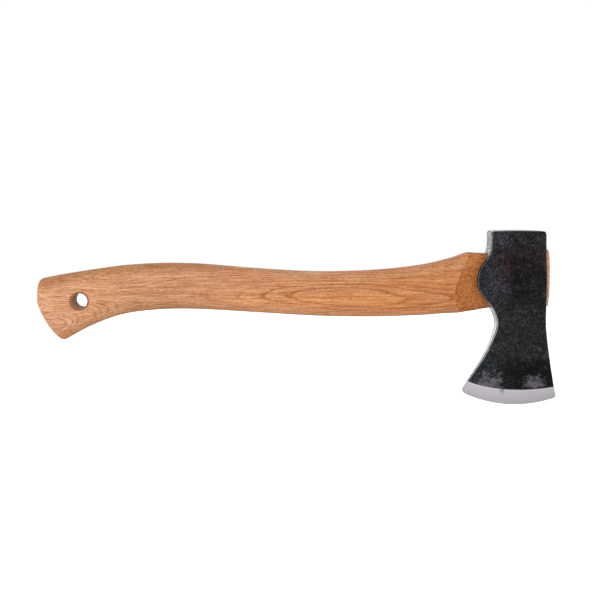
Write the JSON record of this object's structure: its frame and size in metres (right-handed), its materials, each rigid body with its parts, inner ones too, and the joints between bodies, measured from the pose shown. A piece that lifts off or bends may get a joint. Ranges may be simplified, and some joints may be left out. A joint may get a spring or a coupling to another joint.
{
  "type": "hatchet",
  "caption": "Small forest hatchet: forged bearded steel head with ground bevel, wedged onto a curved hardwood handle with a lanyard hole.",
  "frame": {"origin": "centre of the flat poll face, on the hatchet's middle plane", "axes": "+X along the handle from the knob to the head, +Z out of the poll face and away from the cutting edge, Y is the thickness"},
  "size_m": [0.3743, 0.0302, 0.1262],
  "materials": {
    "forged_steel": "black forging scale with a ground and honed bevel",
    "handle_wood": "oiled hickory, grain along the handle",
    "wedge_wood": "plain sawn hardwood, end grain showing",
    "wedge_steel": "bright turned steel"
  },
  "bodies": {
    "root": {"head": "forged_steel", "handle": "handle_wood", "wood_wedge": "wedge_wood", "steel_wedge": "wedge_steel"}
  },
  "joints": []
}
